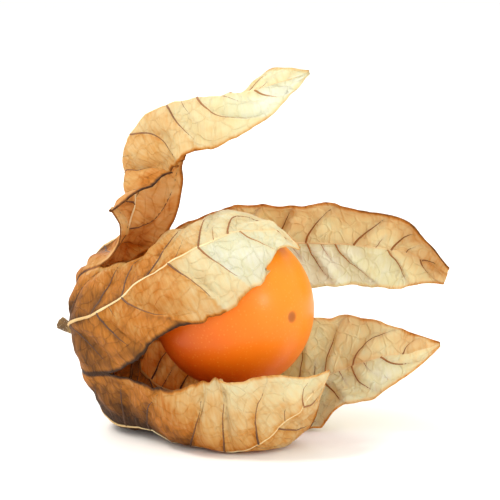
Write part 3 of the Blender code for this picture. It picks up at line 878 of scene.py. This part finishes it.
stem_rows = [
    [*(HUSK_BASE + along * HUSK_AXIS + bend * HUSK_UP + SHIFT), radius]
    for along, bend, radius in STEM_PROFILE
]
stem_found = smooth_through(stem_rows, np.linspace(0, 1, STEM_ROWS))
stem_line, stem_radius = stem_found[:, :3], stem_found[:, 3]
ahead = unit(np.gradient(stem_line, axis=0))
upward = unit(HUSK_UP - (ahead @ HUSK_UP)[:, None] * ahead)
beside = np.cross(ahead, upward)
turned = np.linspace(0, 2 * math.pi, STEM_SIDES, endpoint=False)
far = np.linspace(0, 1, STEM_ROWS)[:, None]
ridged = 1 + STEM_RIDGE_DEPTH * np.cos(STEM_RIDGES * turned + 2.5 * far) * (1 - far**3)
ring = np.cos(turned)[:, None] * upward[:, None, :] + np.sin(turned)[:, None] * beside[:, None, :]
stem_points = stem_line[:, None] + (stem_radius[:, None] * ridged)[..., None] * ring
stem_points = np.concatenate([stem_points.reshape(-1, 3), stem_line[:1], stem_line[-1:]])
faces = []
for row in range(STEM_ROWS - 1):
    for i in range(STEM_SIDES):
        j = (i + 1) % STEM_SIDES
        low, high = row * STEM_SIDES, (row + 1) * STEM_SIDES
        faces.append((low + i, low + j, high + j, high + i))
for i in range(STEM_SIDES):
    j = (i + 1) % STEM_SIDES
    last = (STEM_ROWS - 1) * STEM_SIDES
    faces.append((len(stem_points) - 2, j, i))
    faces.append((len(stem_points) - 1, last + i, last + j))


BARK_TONES = [(0.3, "#4A3319"), (0.5, "#7A5A2E"), (0.7, "#A98A52")]
FLESH_TONES = [(0.3, "#A9B06A"), (0.7, "#D6D8A0")]
BARK_GRAIN = 2.0


def dry_stalk():
    """Dried bark outside the husk, dull and patchy, turning to the pale green flesh of the cone inside."""
    made, tree, output = new_material("dry_stalk")
    place = add_node(tree, "ShaderNodeTexCoord").outputs["Object"]
    base = tuple((HUSK_BASE + SHIFT) * MM)
    off = add_node(
        tree, "ShaderNodeVectorMath", {"operation": "SUBTRACT"}, i0=place, i1=base
    ).outputs[0]
    along = add_node(
        tree, "ShaderNodeVectorMath", {"operation": "DOT_PRODUCT"}, i0=off, i1=tuple(HUSK_AXIS)
    ).outputs["Value"]
    blotch = add_node(
        tree, "ShaderNodeTexNoise", Vector=place, Scale=1 / (BARK_GRAIN * MM), Detail=5.0
    ).outputs["Fac"]
    green = add_node(
        tree, "ShaderNodeMapRange", Value=along, From_Min=-2 * MM, From_Max=1.5 * MM, To_Min=0.0, To_Max=1.0
    ).outputs[0]
    bark = add_node(tree, "ShaderNodeValToRGB", stops=BARK_TONES, i0=blotch).outputs[0]
    flesh = add_node(tree, "ShaderNodeValToRGB", stops=FLESH_TONES, i0=blotch).outputs[0]
    skin = add_node(tree, "ShaderNodeMix", {"data_type": "RGBA"}, i0=green, i6=bark, i7=flesh).outputs[2]
    bump = add_node(tree, "ShaderNodeBump", Strength=0.5, Distance=0.15 * MM, Height=blotch).outputs[0]
    shader = add_node(tree, "ShaderNodeBsdfPrincipled", Base_Color=skin, Roughness=0.7, Normal=bump)
    tree.links.new(shader.outputs[0], output.inputs["Surface"])
    return made


stalk = mesh_object("stalk", stem_points, faces, [dry_stalk()])
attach(stalk, "root")
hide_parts("stem")

HAIR_LENGTH, HAIR_RADIUS = 0.45, 0.018
HAIR_DENSITY = 9  # hairs on a square millimetre
HAIRY_UNTIL = 0.72  # the share of the stalk, from its broken end, that has hairs


def hair_white():
    """Dried plant hairs: hollow, nearly colourless, and light enough against the bark to show."""
    made, tree, output = new_material("hair_white")
    shader = add_node(
        tree, "ShaderNodeBsdfPrincipled", Base_Color=colour("#E9DEC2"), Roughness=0.5,
        Transmission_Weight=0.3,
    )
    tree.links.new(shader.outputs[0], output.inputs["Surface"])
    return made


skin_data = stalk.data.copy()
hairy = np.concatenate([np.repeat(far[:, 0] < HAIRY_UNTIL, STEM_SIDES), [False, False]])
layer = skin_data.attributes.new("hairy", "FLOAT", "POINT")
layer.data.foreach_set("value", hairy.astype(np.float32))
skin_carrier = bpy.data.objects.new("hair_carrier", skin_data)
bpy.context.scene.collection.objects.link(skin_carrier)

hair_finish = hair_white()
tree = bpy.data.node_groups.new("hairs_on_stalk", "GeometryNodeTree")
tree.interface.new_socket("Geometry", in_out="INPUT", socket_type="NodeSocketGeometry")
tree.interface.new_socket("Density", in_out="INPUT", socket_type="NodeSocketFloat")
tree.interface.new_socket("Length", in_out="INPUT", socket_type="NodeSocketFloat")
tree.interface.new_socket("Radius", in_out="INPUT", socket_type="NodeSocketFloat")
tree.interface.new_socket("Geometry", in_out="OUTPUT", socket_type="NodeSocketGeometry")
given = add_node(tree, "NodeGroupInput")
factor = add_node(
    tree, "GeometryNodeInputNamedAttribute", {"data_type": "FLOAT"}, Name="hairy"
).outputs[0]
density = add_node(
    tree, "ShaderNodeMath", {"operation": "MULTIPLY"}, i0=factor, i1=given.outputs["Density"]
).outputs[0]
spots = add_node(
    tree, "GeometryNodeDistributePointsOnFaces", Mesh=given.outputs["Geometry"], Density=density, Seed=4
)
hair = add_node(
    tree, "GeometryNodeMeshCone", Vertices=4, Radius_Top=0.0,
    Radius_Bottom=given.outputs["Radius"], Depth=given.outputs["Length"],
).outputs[0]
swayed = add_node(
    tree, "FunctionNodeRandomValue", {"data_type": "FLOAT_VECTOR"},
    i0=(-0.5, -0.5, 0.0), i1=(0.5, 0.5, 3.0), Seed=8,
).outputs[0]
turned_hair = add_node(
    tree, "FunctionNodeRotateRotation", {"rotation_space": "LOCAL"},
    Rotation=spots.outputs["Rotation"], i1=swayed,
).outputs[0]
longer = add_node(tree, "FunctionNodeRandomValue", i2=0.5, i3=1.0, Seed=3).outputs[1]
scaled = add_node(tree, "ShaderNodeCombineXYZ", X=1.0, Y=1.0, Z=longer).outputs[0]
hairs = add_node(
    tree, "GeometryNodeInstanceOnPoints", Points=spots.outputs["Points"], Instance=hair,
    Rotation=turned_hair, Scale=scaled,
).outputs[0]
real = add_node(tree, "GeometryNodeRealizeInstances", i0=hairs).outputs[0]
dressed = add_node(tree, "GeometryNodeSetMaterial", Geometry=real, Material=hair_finish).outputs[0]
result = add_node(tree, "NodeGroupOutput")
tree.links.new(dressed, result.inputs[0])

stalk_hairs = grown(
    tree, skin_carrier, "stalk_hairs",
    Density=HAIR_DENSITY / MM**2, Length=HAIR_LENGTH * MM, Radius=HAIR_RADIUS * MM,
)
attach(stalk_hairs, "root")
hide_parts("stem")

# ---------------------------------------------------------------------------------------------------
# The table and the air round it: a plain white sheet that fades into a white background.


def table_white():
    """Matt white laminate, so bright that only soft shadows show on it."""
    made, tree, output = new_material("table_white")
    shader = add_node(tree, "ShaderNodeBsdfPrincipled", Base_Color=colour("#F5F3EF"), Roughness=0.9)
    tree.links.new(shader.outputs[0], output.inputs["Surface"])
    return made


table = mesh_object(
    "table", [(-3000, -3000, 0), (3000, -3000, 0), (3000, 3000, 0), (-3000, 3000, 0)],
    [(0, 1, 2, 3)], [table_white()],
)

world = bpy.data.worlds.new("white_air")
bpy.context.scene.world = world
world.use_nodes = True
world.node_tree.nodes["Background"].inputs["Color"].default_value = (1, 1, 1, 1)
world.node_tree.nodes["Background"].inputs["Strength"].default_value = 1.12

low, high = (Vector(corner) for corner in cad_box)
centre = (low + high) / 2


def soft_light(name, place, power, size, tint):
    """A square lamp that faces the fruit's middle from a place measured from there."""
    lamp = bpy.data.lights.new(name, "AREA")
    lamp.energy, lamp.size, lamp.color = power, size, tint
    made = bpy.data.objects.new(name, lamp)
    bpy.context.scene.collection.objects.link(made)
    made.location = centre + Vector(place)
    made.rotation_euler = (-Vector(place)).to_track_quat("-Z", "Y").to_euler()


soft_light("key", (-0.24, -0.02, 0.40), 1.2, 0.12, (1.0, 0.97, 0.92))
soft_light("window", (0.30, -0.30, 0.14), 0.5, 0.10, (1.0, 0.97, 0.88))
soft_light("back", (-0.10, 0.36, 0.20), 0.5, 0.20, (1.0, 0.98, 0.95))

# ---------------------------------------------------------------------------------------------------
# The camera: level with the fruit's middle, looking a little down on it from the front.

CAMERA_AWAY = 0.24
CAMERA_RISE = math.radians(10)
eye = bpy.data.cameras.new("camera")
eye.lens = 150
eye.sensor_width = 36
eye.clip_start, eye.clip_end = 0.01, 20
camera = bpy.data.objects.new("camera", eye)
bpy.context.scene.collection.objects.link(camera)
camera.location = centre + CAMERA_AWAY * Vector((0, -math.cos(CAMERA_RISE), math.sin(CAMERA_RISE)))
camera.rotation_euler = (centre - camera.location).to_track_quat("-Z", "Y").to_euler()
bpy.context.scene.camera = camera
bpy.context.scene.view_settings.view_transform = "Standard"

bpy.context.view_layer.update()
